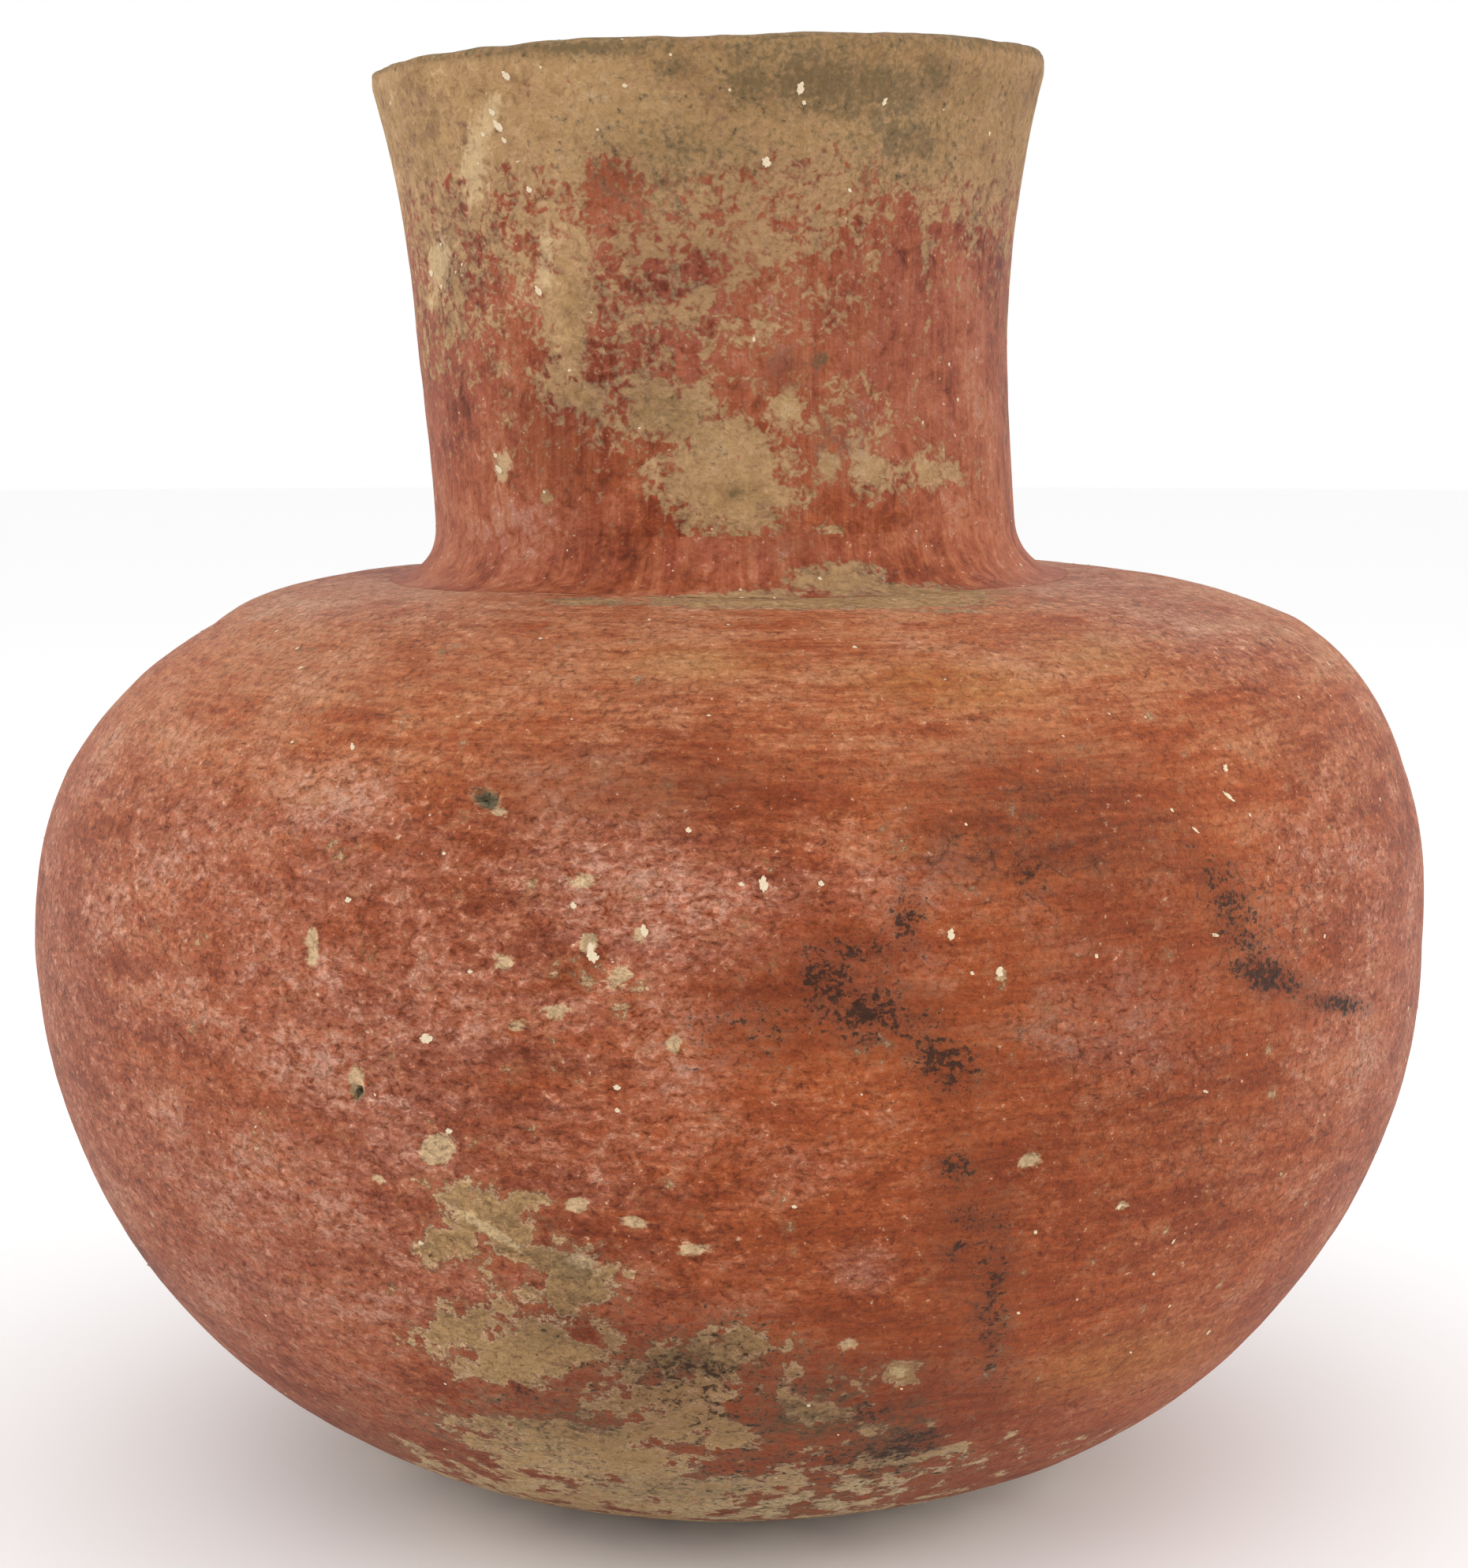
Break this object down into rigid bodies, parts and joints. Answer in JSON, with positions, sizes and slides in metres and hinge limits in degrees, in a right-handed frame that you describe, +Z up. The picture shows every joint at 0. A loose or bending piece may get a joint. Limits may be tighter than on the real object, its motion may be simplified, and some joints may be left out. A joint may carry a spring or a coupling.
{
  "type": "pottery jar",
  "caption": "Hand-built earthenware jar with a full round body, a wide upright neck and a turned-out rim, coated in worn red slip, for holding water or grain.",
  "frame": {"origin": "middle of the foot, on the surface that the jar stands on", "axes": "+Z up along the jar's axis, -Y towards the pictured side, +X to the right as pictured"},
  "size_m": [0.2003, 0.2, 0.2009],
  "materials": {
    "red_slip": "burnished red slip",
    "worn_slip": "red slip worn to clay",
    "bare_clay": "bare buff clay"
  },
  "bodies": {
    "root": {"base_bowl": "worn_slip", "body_coil_1": "red_slip", "body_coil_2": "red_slip", "body_coil_3": "red_slip", "body_coil_4": "red_slip", "body_coil_5": "red_slip", "body_coil_6": "red_slip", "shoulder_coil_1": "red_slip", "shoulder_coil_2": "red_slip", "neck_root_roll": "red_slip", "neck_coil_1": "worn_slip", "neck_coil_2": "worn_slip", "neck_coil_3": "worn_slip", "rim_coil": "bare_clay"}
  },
  "joints": []
}
